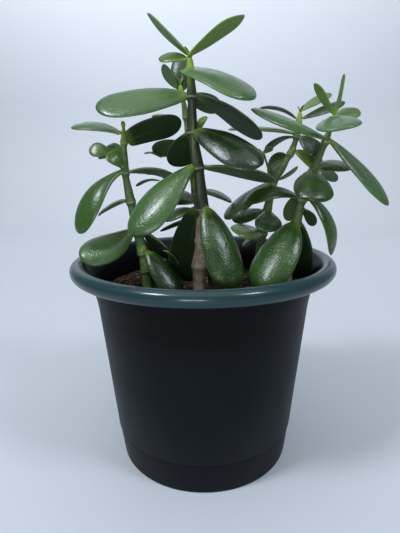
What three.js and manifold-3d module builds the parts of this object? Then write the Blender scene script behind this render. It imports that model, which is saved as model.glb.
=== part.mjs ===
// Potted jade plant: a rolled-rim plastic nursery pot, its soil, five stems and their leaves.
// Millimetres, +Z up. The origin is the middle of the pot's base and the front faces -Y.

import * as THREE from 'three';
import * as BufferGeometryUtils from 'three/addons/utils/BufferGeometryUtils.js';
import Module from 'manifold-3d';

const wasm = await Module();
wasm.setup();

// Driving dimensions
const CLEARANCE = 0.3;          // gap between neighbouring pieces
const WALL = 2.2;               // pot wall
const RIM_RADIUS = 100;         // outer radius of the rolled rim
const RIM_ROLL = 5.5;           // radius of the roll itself
const RIM_HEIGHT = 153.5;       // middle of the roll
const ROLL_ARC = [-160, 120];   // angles where the roll starts and ends
const ROLL_STEPS = 10;
const LIP_INSET = 2;            // the inner lip under the roll, out from the collar and up
const LIP_RISE = 5;
const COLLAR_BOTTOM = 132;      // where the wall steps out under the rim
const COLLAR_TOP = 147;
const COLLAR_RADIUS = 84.5;
const COLLAR_TAPER = 1;         // how much narrower the collar is at its bottom
const WALL_TOP_RADIUS = 81.8;   // outer radius just under the collar step
const BAND_HEIGHT = 25;         // nearly upright foot band
const BAND_RADIUS = 70.5;
const BAND_STEP = 0.6;          // how far the wall steps out over the foot band
const BASE_RADIUS = 67.5;
const EDGE_BEVEL = 1.5;         // rounds the base edge and the inside of the floor
const CREASE = 0.5;             // half the height of the creases round the wall
const FOOT_INNER_RADIUS = 56;   // the foot ring that the pot stands on
const PAD_RADIUS = 22;          // flat pad in the middle of the base
const RECESS_SLOPE = 4;         // run of the slopes beside the pad and the foot ring
const BASE_RECESS = 3;          // hollow between the pad and the foot ring
const FLOOR_TOP = 5.5;
const DRAIN_HOLES = 6;
const DRAIN_RADIUS = 5;
const DRAIN_CIRCLE = 39;        // radius of the circle that the drain holes lie on
const DRAIN_SIDES = 12;
const POT_SIDES = 56;
const SOIL_EDGE = 126;          // soil height at the wall and in the middle
const SOIL_MIDDLE = 130;
const SOIL_MOUND = [[60, 127.5], [35, 129]];  // its radius and height in between
const SOCKET_GAP = 0.45;        // gap round the buried ends of the stems
const STEM_SIDES = 10;
const NODE_SWELL = 0.7;         // how far a leaf node stands out of its stem
const NODE_RINGS = [[-4, -0.2], [-1, NODE_SWELL], [1.5, 0.5]];  // height from it, radius gained
const TIP_SHARE = 0.7;          // width of the bud over the stem's own
const BUD_HEIGHT = 3;
const BUD_REACH = 1.3;          // distance of the crown leaves from the middle of their bud
const LEAF_SIDES = 8;
const LEAF_STATIONS = 8;
const LEAF_THICKNESS = 4.4;
const LEAF_FULLEST = 1.35;      // above 1 moves the widest place towards the tip
const LEAF_BLUNTNESS = 0.65;    // below 1 rounds the tip
const LEAF_PADDING = 0.7;       // below 1 keeps the blade thick towards its ends

const POT_FINISH = { color: 0x171c1f, roughness: 0.45, metalness: 0 };
const SOIL_FINISH = { color: 0x2a1c14, roughness: 0.95, metalness: 0 };
const BARK_FINISH = { color: 0x8a7264, roughness: 0.8, metalness: 0 };
const SHOOT_FINISH = { color: 0x4d5a28, roughness: 0.55, metalness: 0 };
const LEAF_FINISH = { color: 0x2f5a24, roughness: 0.3, metalness: 0 };

// Each stem: its route as [x, y, z] from below the soil to its bud, its radius at both ends, the
// heights of its leaf nodes, and its leaves. A leaf grows from the stem at height "up" towards
// "heading" (degrees round from +X to +Y). "rise" is the slope of its chord, "droop" the angle it
// curves down over its length, and a positive "roll" lowers its left edge, seen from the stem.
const STEMS = {
  main: {
    route: [[-1, -5, 104], [-2, -5, 155], [0, -5, 172], [0, -5, 209], [-3, -5, 231],
      [-6, -5, 251], [-6, -5, 275], [-7, -5, 297]],
    radius: [6.2, 2.6],
    nodes: [152, 172, 196, 226, 251, 275, 291],
    finish: BARK_FINISH,
    leaves: [
      { name: 'crown_left', up: 302, heading: 170, rise: 44, droop: -5, length: 40, width: 17, roll: -14 },
      { name: 'crown_right', up: 302, heading: -10, rise: 29, droop: 10, length: 42, width: 18, roll: 8 },
      { name: 'second_back', up: 299, heading: 162, rise: 6, droop: 25, length: 21, width: 14, roll: 40 },
      { name: 'second_front', up: 291, heading: -35, rise: -28, droop: 25, length: 52, width: 36, roll: -12 },
      { name: 'third_left', up: 275, heading: -172, rise: -7, droop: 5, length: 64, width: 32, roll: 42 },
      { name: 'third_right', up: 275, heading: 15, rise: -32, droop: 20, length: 56, width: 28, roll: 12 },
      { name: 'fourth_front', up: 251, heading: -30, rise: -27, droop: 20, length: 56, width: 32, roll: -28 },
      { name: 'fourth_back', up: 250, heading: 126, rise: -50, droop: 15, length: 31, width: 24, roll: -10 },
      { name: 'fifth_front', up: 226, heading: -150, rise: -44, droop: 15, length: 66, width: 32, roll: 32 },
      { name: 'fifth_right', up: 226, heading: 15, rise: -12, droop: 15, length: 56, width: 26, roll: 15 },
      { name: 'sixth_back', up: 196, heading: 132, rise: -74, droop: 15, length: 64, width: 32, roll: -35 },
      { name: 'sixth_front', up: 196, heading: -52, rise: -58, droop: 15, length: 63, width: 30, roll: -10 },
    ],
  },
  left: {
    route: [[-43, 2, 106], [-44, 2, 129], [-46, 2, 153], [-50, 2, 172], [-54, 2, 194],
      [-58, 2, 217], [-58, 2, 252]],
    radius: [5.5, 1.9],
    nodes: [147, 161, 177, 201, 223, 245],
    finish: SHOOT_FINISH,
    leaves: [
      { name: 'crown_left', up: 251, heading: 172, rise: 8, droop: 35, length: 40, width: 20, roll: 20 },
      { name: 'crown_right', up: 247, heading: 12, rise: 16, droop: 15, length: 42, width: 25, roll: 40 },
      { name: 'third_front', up: 223, heading: -145, rise: -52, droop: 60, length: 56, width: 26, roll: 20 },
      { name: 'third_right', up: 223, heading: 10, rise: -10, droop: 40, length: 38, width: 20, roll: 15 },
      { name: 'fourth_left', up: 201, heading: 160, rise: -24, droop: 30, length: 29, width: 18, roll: 18 },
      { name: 'fifth_front', up: 178, heading: -155, rise: -22, droop: -30, length: 44, width: 30, roll: 38 },
      { name: 'fifth_back', up: 177, heading: 45, rise: -45, droop: 15, length: 32, width: 24, roll: 0 },
      { name: 'low_right', up: 161, heading: -25, rise: -45, droop: 10, length: 40, width: 24, roll: -20 },
    ],
  },
  right: {
    route: [[64, 0, 106], [66, 0, 154], [72, 0, 190], [78, 0, 214], [83, 0, 226], [88, 0, 239],
      [94, 0, 258]],
    radius: [5.2, 1.8],
    nodes: [184, 202, 222, 243, 254],
    finish: SHOOT_FINISH,
    leaves: [
      { name: 'crown_left', up: 262, heading: 175, rise: 56, droop: 5, length: 24, width: 10, roll: -25 },
      { name: 'crown_back', up: 262, heading: 15, rise: 80, droop: -10, length: 26, width: 7, roll: 0 },
      { name: 'second_right', up: 258, heading: 33, rise: 20, droop: 0, length: 22, width: 16, roll: -30 },
      { name: 'second_front', up: 258, heading: -95, rise: -18, droop: 10, length: 34, width: 30, roll: -8 },
      { name: 'third_left', up: 245, heading: -164, rise: 19, droop: 5, length: 57, width: 26, roll: 25 },
      { name: 'third_right', up: 243, heading: -11, rise: -47, droop: 12, length: 62, width: 24, roll: -25 },
      { name: 'fourth_back', up: 223, heading: 36, rise: 6, droop: 15, length: 34, width: 20, roll: -25 },
      { name: 'fourth_front', up: 222, heading: -98, rise: -30, droop: 15, length: 38, width: 28, roll: 8 },
      { name: 'fifth_left', up: 203, heading: -171, rise: -6, droop: 75, length: 40, width: 22, roll: 20 },
      { name: 'fifth_right', up: 203, heading: -20, rise: -66, droop: 75, length: 46, width: 22, roll: -12 },
      { name: 'sixth_front', up: 184, heading: -130, rise: -48, droop: 10, length: 57, width: 34, roll: 10 },
      { name: 'sixth_back', up: 184, heading: 50, rise: -86, droop: 10, length: 45, width: 25, roll: 0 },
    ],
  },
  middle: {
    route: [[42, 30, 106], [48, 32, 170], [54, 32, 202], [56, 32, 213], [64, 32, 227], [71, 32, 240],
      [75, 32, 264]],
    radius: [4.8, 1.8],
    nodes: [172, 190, 213, 236, 249, 259],
    finish: SHOOT_FINISH,
    leaves: [
      { name: 'crown_left', up: 262, heading: 180, rise: 15, droop: 55, length: 30, width: 13, roll: 0 },
      { name: 'crown_right', up: 268, heading: 10, rise: 28, droop: 20, length: 26, width: 14, roll: -25 },
      { name: 'second_right', up: 262, heading: -15, rise: 18, droop: 5, length: 32, width: 14, roll: -35 },
      { name: 'second_left', up: 251, heading: 164, rise: 5, droop: 15, length: 54, width: 22, roll: 5 },
      { name: 'third_left', up: 248, heading: 146, rise: -22, droop: 60, length: 26, width: 16, roll: 0 },
      { name: 'third_right', up: 248, heading: -25, rise: -40, droop: 15, length: 22, width: 17, roll: -40 },
      { name: 'fourth_right', up: 237, heading: -5, rise: -32, droop: 20, length: 27, width: 18, roll: -45 },
      { name: 'fifth_back', up: 215, heading: 2, rise: 35, droop: -10, length: 18, width: 12, roll: 20 },
      { name: 'fifth_front', up: 213, heading: 72, rise: 60, droop: -5, length: 28, width: 19, roll: 10 },
      { name: 'fifth_left', up: 212, heading: -160, rise: -36, droop: 15, length: 46, width: 22, roll: 15 },
      { name: 'sixth_left', up: 190, heading: -168, rise: -17, droop: 20, length: 26, width: 20, roll: 25 },
      { name: 'sixth_front', up: 190, heading: -92, rise: -32, droop: 20, length: 26, width: 22, roll: 0 },
      { name: 'low_left', up: 173, heading: -125, rise: 6, droop: 15, length: 36, width: 22, roll: 28 },
    ],
  },
  back: {
    route: [[10, 24, 106], [2, 20, 165], [-3, 20, 185], [-8, 20, 216], [-11, 20, 240],
      [-14, 20, 270], [-17, 20, 284]],
    radius: [4.2, 1.8],
    nodes: [192, 206, 243, 264, 279],
    finish: SHOOT_FINISH,
    leaves: [
      { name: 'crown_right', up: 283, heading: 88, rise: 74, droop: 5, length: 27, width: 18, roll: 0 },
      { name: 'crown_left', up: 285, heading: 165, rise: 52, droop: 5, length: 20, width: 15, roll: -45 },
      { name: 'second_right', up: 278, heading: 13, rise: -18, droop: 20, length: 28, width: 20, roll: 35 },
      { name: 'third_left', up: 244, heading: 163, rise: -14, droop: 20, length: 28, width: 20, roll: -35 },
      { name: 'fourth_left', up: 198, heading: 150, rise: 12, droop: 15, length: 24, width: 20, roll: 30 },
      { name: 'fourth_right', up: 207, heading: 17, rise: -19, droop: 35, length: 28, width: 20, roll: -15 },
      { name: 'fifth_left', up: 192, heading: 171, rise: -16, droop: 20, length: 27, width: 18, roll: 28 },
      { name: 'fifth_low', up: 186, heading: 166, rise: -22, droop: 10, length: 34, width: 14, roll: -10 },
    ],
  },
};

const radians = THREE.MathUtils.degToRad;

function piece(name, geometry, finish) {
  const mesh = new THREE.Mesh(geometry, new THREE.MeshStandardMaterial(finish));
  mesh.name = name;
  return mesh;
}

// Manifold-3d only cuts: these two carry a closed geometry there and back.
function toSolid(geometry) {
  const bare = geometry.clone();
  bare.deleteAttribute('normal');
  bare.deleteAttribute('uv');
  const merged = BufferGeometryUtils.mergeVertices(bare, 1e-4);
  const vertProperties = new Float32Array(merged.attributes.position.array);
  const triVerts = new Uint32Array(merged.index.array);
  return new wasm.Manifold(new wasm.Mesh({ numProp: 3, vertProperties, triVerts }));
}

function toGeometry(solid) {
  const mesh = solid.getMesh();
  const geometry = new THREE.BufferGeometry();
  geometry.setAttribute('position', new THREE.BufferAttribute(mesh.vertProperties, 3));
  geometry.setIndex(new THREE.BufferAttribute(mesh.triVerts, 1));
  return geometry;
}

// A turned body: [radius, height] points from the axis, up the outside and back to the axis.
function turned(profile, sides) {
  const points = profile.map(([radius, height]) => new THREE.Vector2(radius, height));
  return new THREE.LatheGeometry(points, sides).rotateX(Math.PI / 2);
}

// Points round the rim's roll.
function rollPoints() {
  const middle = RIM_RADIUS - RIM_ROLL;
  return Array.from({ length: ROLL_STEPS + 1 }, (_, i) => {
    const angle = radians(THREE.MathUtils.lerp(...ROLL_ARC, i / ROLL_STEPS));
    return [middle + RIM_ROLL * Math.cos(angle), RIM_HEIGHT + RIM_ROLL * Math.sin(angle)];
  });
}

function potProfile() {
  const collarFoot = COLLAR_RADIUS - COLLAR_TAPER;
  return [
    [0, 0], [PAD_RADIUS, 0],
    [PAD_RADIUS + RECESS_SLOPE, BASE_RECESS], [FOOT_INNER_RADIUS - RECESS_SLOPE, BASE_RECESS],
    [FOOT_INNER_RADIUS, 0], [BASE_RADIUS - EDGE_BEVEL, 0], [BASE_RADIUS, EDGE_BEVEL],
    [BAND_RADIUS, BAND_HEIGHT - CREASE], [BAND_RADIUS + BAND_STEP, BAND_HEIGHT + CREASE],
    [WALL_TOP_RADIUS, COLLAR_BOTTOM - CREASE], [collarFoot, COLLAR_BOTTOM + EDGE_BEVEL],
    [COLLAR_RADIUS, COLLAR_TOP],
    ...rollPoints(),
    [COLLAR_RADIUS + LIP_INSET, COLLAR_TOP + LIP_RISE],
    [COLLAR_RADIUS - WALL, COLLAR_TOP + LIP_INSET - LIP_RISE],
    [collarFoot - WALL, COLLAR_BOTTOM + EDGE_BEVEL], [WALL_TOP_RADIUS - WALL, COLLAR_BOTTOM - CREASE],
    [BAND_RADIUS + BAND_STEP - WALL, BAND_HEIGHT + CREASE],
    [BASE_RADIUS - WALL, FLOOR_TOP + EDGE_BEVEL],
    [BASE_RADIUS - WALL - EDGE_BEVEL, FLOOR_TOP], [0, FLOOR_TOP],
  ];
}

function makePot() {
  let solid = toSolid(turned(potProfile(), POT_SIDES));
  for (let i = 0; i < DRAIN_HOLES; i += 1) {
    const angle = (i * 2 * Math.PI) / DRAIN_HOLES;
    const hole = new THREE.CylinderGeometry(DRAIN_RADIUS, DRAIN_RADIUS, 4 * FLOOR_TOP, DRAIN_SIDES);
    hole.rotateX(Math.PI / 2);
    hole.translate(DRAIN_CIRCLE * Math.cos(angle), DRAIN_CIRCLE * Math.sin(angle), 0);
    solid = solid.subtract(toSolid(hole));
  }
  return piece('pot', toGeometry(solid), POT_FINISH);
}

// Inner radius of the pot at a height between the floor and the collar.
function innerRadius(height) {
  const along = (height - BAND_HEIGHT) / (COLLAR_BOTTOM - BAND_HEIGHT);
  return THREE.MathUtils.lerp(BAND_RADIUS, WALL_TOP_RADIUS, along) - WALL;
}

// The soil fills the pot and is cut away round the buried ends of the stems.
function makeSoil() {
  const bottom = FLOOR_TOP + CLEARANCE;
  const bottomRadius = BASE_RADIUS - WALL - EDGE_BEVEL - CLEARANCE;
  const shoulder = BAND_HEIGHT + 2 * CREASE;
  const profile = [
    [0, bottom], [bottomRadius, bottom], [innerRadius(shoulder) - CLEARANCE, shoulder],
    [innerRadius(SOIL_EDGE) - CLEARANCE, SOIL_EDGE], ...SOIL_MOUND, [0, SOIL_MIDDLE],
  ];
  let solid = toSolid(turned(profile, POT_SIDES));
  for (const stem of Object.values(STEMS)) {
    solid = solid.subtract(toSolid(stemGeometry(stem, SOCKET_GAP)));
  }
  return piece('soil', toGeometry(solid), SOIL_FINISH);
}

// Where a stem's middle line is at a height.
function stemCentre(stem, height) {
  const heights = stem.route.map((point) => point[2]);
  const places = stem.route.flatMap(([x, y]) => [x, y]);
  const [x, y] = new THREE.CubicInterpolant(heights, places, 2).evaluate(height);
  return new THREE.Vector3(x, y, height);
}

function stemEnds(stem) {
  return [stem.route[0][2], stem.route.at(-1)[2]];
}

function stemRadius(stem, height) {
  const [bottom, top] = stemEnds(stem);
  return THREE.MathUtils.mapLinear(height, bottom, top, ...stem.radius);
}

// A tapered stem, ringed at its nodes and closed by a bud, then bent along its route.
function stemGeometry(stem, grown) {
  const [bottom, top] = stemEnds(stem);
  const at = (height, extra) => [stemRadius(stem, height) + extra + grown, height];
  const profile = [[0, bottom - grown], at(bottom - grown, 0), at((bottom + stem.nodes[0]) / 2, 0)];
  for (const node of stem.nodes) {
    profile.push(...NODE_RINGS.map(([height, gain]) => at(node + height, gain)));
  }
  profile.push([stem.radius[1] * TIP_SHARE + grown, top], [0, top + BUD_HEIGHT + grown]);
  const geometry = turned(profile, STEM_SIDES);
  const position = geometry.attributes.position;
  for (let i = 0; i < position.count; i += 1) {
    const centre = stemCentre(stem, position.getZ(i));
    position.setXY(i, position.getX(i) + centre.x, position.getY(i) + centre.y);
  }
  return geometry;
}

// Half width of a leaf from base (0) to tip (1): a narrow neck, widest past the middle, round end.
function outline(along) {
  return Math.max(0, Math.sin(Math.PI * along ** LEAF_FULLEST)) ** LEAF_BLUNTNESS;
}

// A leaf is a sphere drawn out along a drooping arc, flattened and given the leaf's outline.
function leafGeometry(stem, leaf) {
  const heading = radians(leaf.heading);
  const outward = new THREE.Vector3(Math.cos(heading), Math.sin(heading), 0);
  const left = new THREE.Vector3(-outward.y, outward.x, 0);
  const droop = radians(leaf.droop);
  const startSlope = radians(leaf.rise) + droop / 2;
  const overBud = leaf.up > stemEnds(stem)[1] + BUD_HEIGHT;
  const reach = overBud ? BUD_REACH : stemRadius(stem, leaf.up) + NODE_SWELL + CLEARANCE;
  const start = stemCentre(stem, leaf.up).addScaledVector(outward, reach);

  const geometry = new THREE.SphereGeometry(1, LEAF_SIDES, LEAF_STATIONS);
  const position = geometry.attributes.position;
  for (let i = 0; i < position.count; i += 1) {
    const along = (1 - position.getY(i)) / 2;
    const ring = Math.hypot(position.getX(i), position.getZ(i)) || 1;
    const slope = startSlope - (droop * along) / 2;
    const chord = leaf.length * along;
    const bladeSlope = startSlope - droop * along;
    const forward = outward.clone().multiplyScalar(Math.cos(bladeSlope));
    forward.z = Math.sin(bladeSlope);
    const across = left.clone().applyAxisAngle(forward, radians(-leaf.roll));
    const normal = forward.clone().cross(across);
    const half = outline(along);
    const thickness = half ** LEAF_PADDING * (LEAF_THICKNESS / 2);
    const point = start.clone().addScaledVector(outward, chord * Math.cos(slope));
    point.z += chord * Math.sin(slope);
    point.addScaledVector(across, (position.getX(i) / ring) * half * (leaf.width / 2));
    point.addScaledVector(normal, (position.getZ(i) / ring) * thickness);
    position.setXYZ(i, point.x, point.y, point.z);
  }
  return geometry;
}

const plant = new THREE.Group();
plant.add(makePot(), makeSoil());
for (const [stemName, stem] of Object.entries(STEMS)) {
  plant.add(piece(`${stemName}_stem`, stemGeometry(stem, 0), stem.finish));
  for (const leaf of stem.leaves) {
    plant.add(piece(`${stemName}_${leaf.name}_leaf`, leafGeometry(stem, leaf), LEAF_FINISH));
  }
}

export default plant;
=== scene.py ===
import math
import bmesh
import bpy
import numpy as np
from mathutils import Matrix, Vector, noise


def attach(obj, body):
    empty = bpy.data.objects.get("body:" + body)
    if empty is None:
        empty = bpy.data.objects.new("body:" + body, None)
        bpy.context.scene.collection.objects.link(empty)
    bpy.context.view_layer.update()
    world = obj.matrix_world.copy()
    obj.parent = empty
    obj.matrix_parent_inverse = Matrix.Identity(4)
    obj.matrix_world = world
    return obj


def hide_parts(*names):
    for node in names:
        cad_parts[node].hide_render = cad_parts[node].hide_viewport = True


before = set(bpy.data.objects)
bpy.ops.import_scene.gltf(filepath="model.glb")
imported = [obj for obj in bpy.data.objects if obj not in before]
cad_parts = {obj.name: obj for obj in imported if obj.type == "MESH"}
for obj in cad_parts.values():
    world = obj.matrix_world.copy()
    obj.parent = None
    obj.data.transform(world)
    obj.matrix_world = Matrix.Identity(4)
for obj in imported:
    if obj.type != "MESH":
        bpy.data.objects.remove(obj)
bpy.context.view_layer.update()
print("frame loaded:", len(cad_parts), "nodes")


# Node graphs: a Wire is one output socket, and arithmetic on wires adds Math nodes

class Wire:
    def __init__(self, graph, socket):
        self.graph = graph
        self.socket = socket

    def math(self, operation, *terms):
        return self.graph.node("ShaderNodeMath", {"operation": operation}, dict(enumerate(terms)))

    def output(self, name):
        return Wire(self.graph, findSocket(self.socket.node.outputs, name))

    def clamped(self):
        return self.graph.node("ShaderNodeClamp", {}, {0: self})

    def __add__(self, other):
        return self.math("ADD", self, other)

    def __radd__(self, other):
        return self.math("ADD", other, self)

    def __sub__(self, other):
        return self.math("SUBTRACT", self, other)

    def __rsub__(self, other):
        return self.math("SUBTRACT", other, self)

    def __mul__(self, other):
        return self.math("MULTIPLY", self, other)

    def __truediv__(self, other):
        return self.math("DIVIDE", self, other)

    def __mod__(self, other):
        return self.math("FLOORED_MODULO", self, other)

    def __abs__(self):
        return self.math("ABSOLUTE", self)


def findSocket(sockets, key):
    if isinstance(key, int):
        return sockets[key]
    for socket in sockets:
        if socket.identifier == key:
            return socket
    return sockets[key]


class Graph:
    def __init__(self, tree):
        self.tree = tree

    # settings come first, because some of them change which sockets a node has
    def node(self, kind, settings=None, sockets=None, output=0):
        made = self.tree.nodes.new(kind)
        for name, value in (settings or {}).items():
            setattr(made, name, value)
        for key, value in (sockets or {}).items():
            target = findSocket(made.inputs, key)
            if isinstance(value, Wire):
                self.tree.links.new(value.socket, target)
            else:
                target.default_value = value
        return Wire(self, findSocket(made.outputs, output)) if made.outputs else None

    def mix(self, factor, first, second):
        sockets = {"Factor_Float": factor, "A_Color": first, "B_Color": second}
        return self.node("ShaderNodeMix", {"data_type": "RGBA"}, sockets, "Result_Color")

    def ramp(self, value, low, high):
        return self.node("ShaderNodeMapRange", {"interpolation_type": "SMOOTHSTEP"},
                         {0: value, 1: low, 2: high})

    # the scale is one value, or one for each axis
    def noise(self, vector, scale, detail=2.0, roughness=0.5):
        if isinstance(scale, tuple):
            vector, scale = self.stretched(vector, scale), 1.0
        sockets = {"Vector": vector, "Scale": scale, "Detail": detail, "Roughness": roughness}
        return self.node("ShaderNodeTexNoise", {}, sockets)

    def stretched(self, vector, scale):
        return self.node("ShaderNodeVectorMath", {"operation": "MULTIPLY"}, {0: vector, 1: scale})

    def attributes(self, *names):
        return [self.node("ShaderNodeAttribute", {"attribute_name": name}, {}, "Fac") for name in names]

    # an attribute in a Geometry Nodes tree
    def stored(self, name):
        return self.node("GeometryNodeInputNamedAttribute", {"data_type": "FLOAT"}, {"Name": name},
                         "Attribute")

    # moves a geometry's points along their normals
    def push(self, geometry, lift):
        normal = self.node("GeometryNodeInputNormal")
        offset = self.node("ShaderNodeVectorMath", {"operation": "SCALE"}, {0: normal, "Scale": lift})
        return self.node("GeometryNodeSetPosition", {}, {"Geometry": geometry, "Offset": offset})

    def finish(self, geometry, material):
        plain = self.node("GeometryNodeRealizeInstances", {}, {"Geometry": geometry})
        dressed = self.node("GeometryNodeSetMaterial", {}, {"Geometry": plain, "Material": material})
        self.node("NodeGroupOutput", {}, {0: dressed})


def startTree(name, inputs):
    tree = bpy.data.node_groups.new(name, "GeometryNodeTree")
    for socket, kind in inputs.items():
        tree.interface.new_socket(socket, in_out="INPUT", socket_type="NodeSocket" + kind)
    tree.interface.new_socket("Result", in_out="OUTPUT", socket_type="NodeSocketGeometry")
    graph = Graph(tree)
    return tree, graph, graph.node("NodeGroupInput")


# a linear colour from the usual 0 to 255 display values
def tint(red, green, blue):
    def linear(value):
        value /= 255
        return value / 12.92 if value <= 0.04045 else ((value + 0.055) / 1.055) ** 2.4
    return (linear(red), linear(green), linear(blue), 1)


def startMaterial(name, fixed):
    material = bpy.data.materials.new(name)
    material.use_nodes = True
    shader = material.node_tree.nodes["Principled BSDF"]
    for socket, value in fixed.items():
        shader.inputs[socket].default_value = value
    graph = Graph(material.node_tree)
    place = graph.node("ShaderNodeTexCoord", {}, {}, "Object")
    return material, graph, shader, place


def finishMaterial(graph, shader, colour, roughness, height=None, depth=0.0, coat=None):
    links = graph.tree.links
    links.new(colour.socket, shader.inputs["Base Color"])
    links.new(roughness.socket, shader.inputs["Roughness"])
    if coat is not None:
        links.new(coat.socket, shader.inputs["Coat Weight"])
    if height is not None:
        bump = graph.node("ShaderNodeBump", {}, {"Height": height, "Distance": depth, "Strength": 1.0})
        links.new(bump.socket, shader.inputs["Normal"])


# Materials

leafFinish = {
    # the upper face runs from dark to middle, with wax and a painted sheen on pale leaves,
    # and young green near the stem
    "dark": tint(14, 36, 12), "middle": tint(52, 88, 24), "wax": tint(92, 112, 92),
    "young": tint(126, 156, 54), "edge": tint(112, 134, 84), "blush": tint(52, 46, 34),
    # the underside, as painted shade and as painted light with some bloom
    "shade": tint(30, 50, 22), "bloom": tint(98, 122, 84),
    # scales of the pattern's clouds, mottling, blushes and dots, and of the surface's pebbles and waves
    "clouds": 55.0, "mottle": 330.0, "blushes": 30.0, "dots": 620.0,
    "pebble": 850.0, "pebbleDepth": 0.0005, "waviness": 130.0,
    # how strongly each colour covers the ones under it
    "underCover": 0.75, "edgeCover": 0.4, "blushCover": 0.5, "dotCover": 0.22,
    "neckCover": 0.4, "veinCover": 0.12, "youthCover": 0.8,
    # where these lie, as shares of the length and of the half width
    "neckEnd": 0.14, "veinEnd": 0.7, "veinWidth": 0.14, "marginStart": 0.95,
    "roughness": 0.25, "gloss": 0.45, "coatRoughness": 0.2, "upperSpecular": 0.42, "underSpecular": 0.2,
}


def makeLeafMaterial(name, specular):
    look = leafFinish
    material, graph, shader, place = startMaterial(name, {
        "Specular IOR Level": specular, "Subsurface Weight": 0.1, "Subsurface Scale": 0.004,
        "Subsurface Radius": (0.35, 1.0, 0.18), "Coat Roughness": look["coatRoughness"]})
    along, across, side, tone, youth = graph.attributes("along", "across", "side", "tone", "youth")
    across = abs(across)
    clouds = graph.noise(place, look["clouds"], 4.0, 0.6)
    mottle = graph.noise(place, look["mottle"], 3.0, 0.6)
    # the tone lightens or darkens a whole leaf: a random tone, or painted shade or painted light where
    # leafShapes sets it
    patches = graph.ramp(clouds * 0.6 + tone * 0.6 + (mottle - 0.5) * 0.35, 0.25, 0.9)
    colour = graph.mix(patches, look["dark"], look["middle"])
    under = graph.ramp(0.25 - side, 0.0, 0.6)
    # pale leaves take a grey wax colour that also serves as a painted sheen
    colour = graph.mix(graph.ramp(tone, 0.55, 1.0) * (0.05 + clouds * 0.45), colour, look["wax"])
    # the underside's colour runs from painted shade to painted light as the tone rises
    colour = graph.mix(under * look["underCover"], colour, graph.mix(tone, look["shade"], look["bloom"]))
    margin = graph.ramp(across, look["marginStart"], 1.0)
    colour = graph.mix(margin * look["edgeCover"], colour, look["edge"])
    blush = graph.ramp(graph.noise(place, look["blushes"], 2.0), 0.55, 0.8) * margin
    colour = graph.mix(blush * look["blushCover"], colour, look["blush"])
    neck = graph.ramp(look["neckEnd"] - along, 0.0, look["neckEnd"]) * look["neckCover"]
    narrow = graph.ramp(look["veinWidth"] - across, 0.0, 0.12)
    vein = narrow * graph.ramp(look["veinEnd"] - along, 0.0, look["veinEnd"]) * look["veinCover"]
    fresh = (neck + vein + youth * look["youthCover"]).clamped()
    colour = graph.mix(fresh, colour, look["young"])
    dots = graph.node("ShaderNodeTexVoronoi", {}, {"Vector": place, "Scale": look["dots"]}, "Distance")
    speck = graph.ramp(0.2 - dots, 0.0, 0.14)
    colour = graph.mix(speck * look["dotCover"], colour, look["edge"])
    pebbles = graph.noise(place, look["pebble"], 1.0, 0.4)
    waves = graph.noise(place, look["waviness"], 2.0)
    height = pebbles * 0.5 + waves * 1.3 - speck * 0.15
    roughness = look["roughness"] + clouds * 0.14 + under * 0.25 + margin * 0.08
    gloss = (1 - under) * (look["gloss"] - clouds * 0.5 + tone * 0.05)
    finishMaterial(graph, shader, colour, roughness, height, look["pebbleDepth"], gloss)
    return material


stemFinish = {
    "bark": tint(184, 166, 146), "barkDark": tint(138, 118, 102), "crack": tint(66, 52, 44),
    "brown": tint(46, 52, 34), "green": tint(80, 104, 60), "greenDark": tint(34, 44, 28),
    "scar": tint(150, 156, 116), "lime": tint(142, 166, 60), "sage": tint(104, 118, 84),
    # scales of the pattern; streaks and grain are stretched along the stem
    "streaks": (420.0, 420.0, 30.0), "grain": (900.0, 900.0, 160.0), "blotches": 160.0,
    # how strongly each colour covers the ones under it
    "crackCover": 0.8, "darkCover": 0.55, "sageCover": 0.6, "limeCover": 0.8, "scarCover": 0.5,
    "budStart": 0.86, "roughness": 0.46, "specular": 0.28, "barkDepth": 0.0006,
}


def makeStemMaterial():
    look = stemFinish
    material, graph, shader, place = startMaterial("stemSkin", {
        "Specular IOR Level": look["specular"], "Subsurface Weight": 0.05, "Subsurface Scale": 0.003})
    bark, scar, tipward, woody, pale = graph.attributes("bark", "scar", "along", "woody", "pale")
    grain = graph.noise(place, look["grain"], 3.0, 0.6)
    blotch = graph.noise(place, look["blotches"], 3.0, 0.6)
    husk = graph.mix(graph.ramp(blotch, 0.35, 0.7), look["barkDark"], look["bark"])
    cracks = graph.ramp(0.42 - grain, 0.0, 0.14)
    husk = graph.mix(cracks * look["crackCover"], husk, look["crack"])
    growth = graph.ramp(blotch * 0.6 + 0.6 - woody * 0.8, 0.2, 0.8)
    skin = graph.mix(growth, look["brown"], look["green"])
    pores = graph.ramp(0.47 - grain, 0.0, 0.2)
    skin = graph.mix(pores * look["darkCover"], skin, look["greenDark"])
    streaks = graph.ramp(graph.noise(place, look["streaks"], 2.0), 0.55, 0.72)
    skin = graph.mix(streaks * look["sageCover"], skin, look["sage"])
    young = graph.ramp(tipward, look["budStart"], 1.0)
    fresh = young + graph.ramp(pale + (blotch - 0.5) * 2.4, 0.4, 1.0)
    skin = graph.mix((fresh * look["limeCover"]).clamped(), skin, look["lime"])
    covered = graph.ramp(bark + (blotch - 0.5) * 0.9, 0.35, 0.65)
    colour = graph.mix(covered, skin, husk)
    scarred = graph.ramp(scar * (0.6 + blotch * 0.7), 0.35, 0.8)
    colour = graph.mix(scarred * look["scarCover"], colour, look["scar"])
    roughness = look["roughness"] + covered * 0.3 + grain * 0.1
    height = grain * (0.35 + covered * 0.8) + blotch * 0.4
    finishMaterial(graph, shader, colour, roughness, height, look["barkDepth"])
    return material


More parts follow.
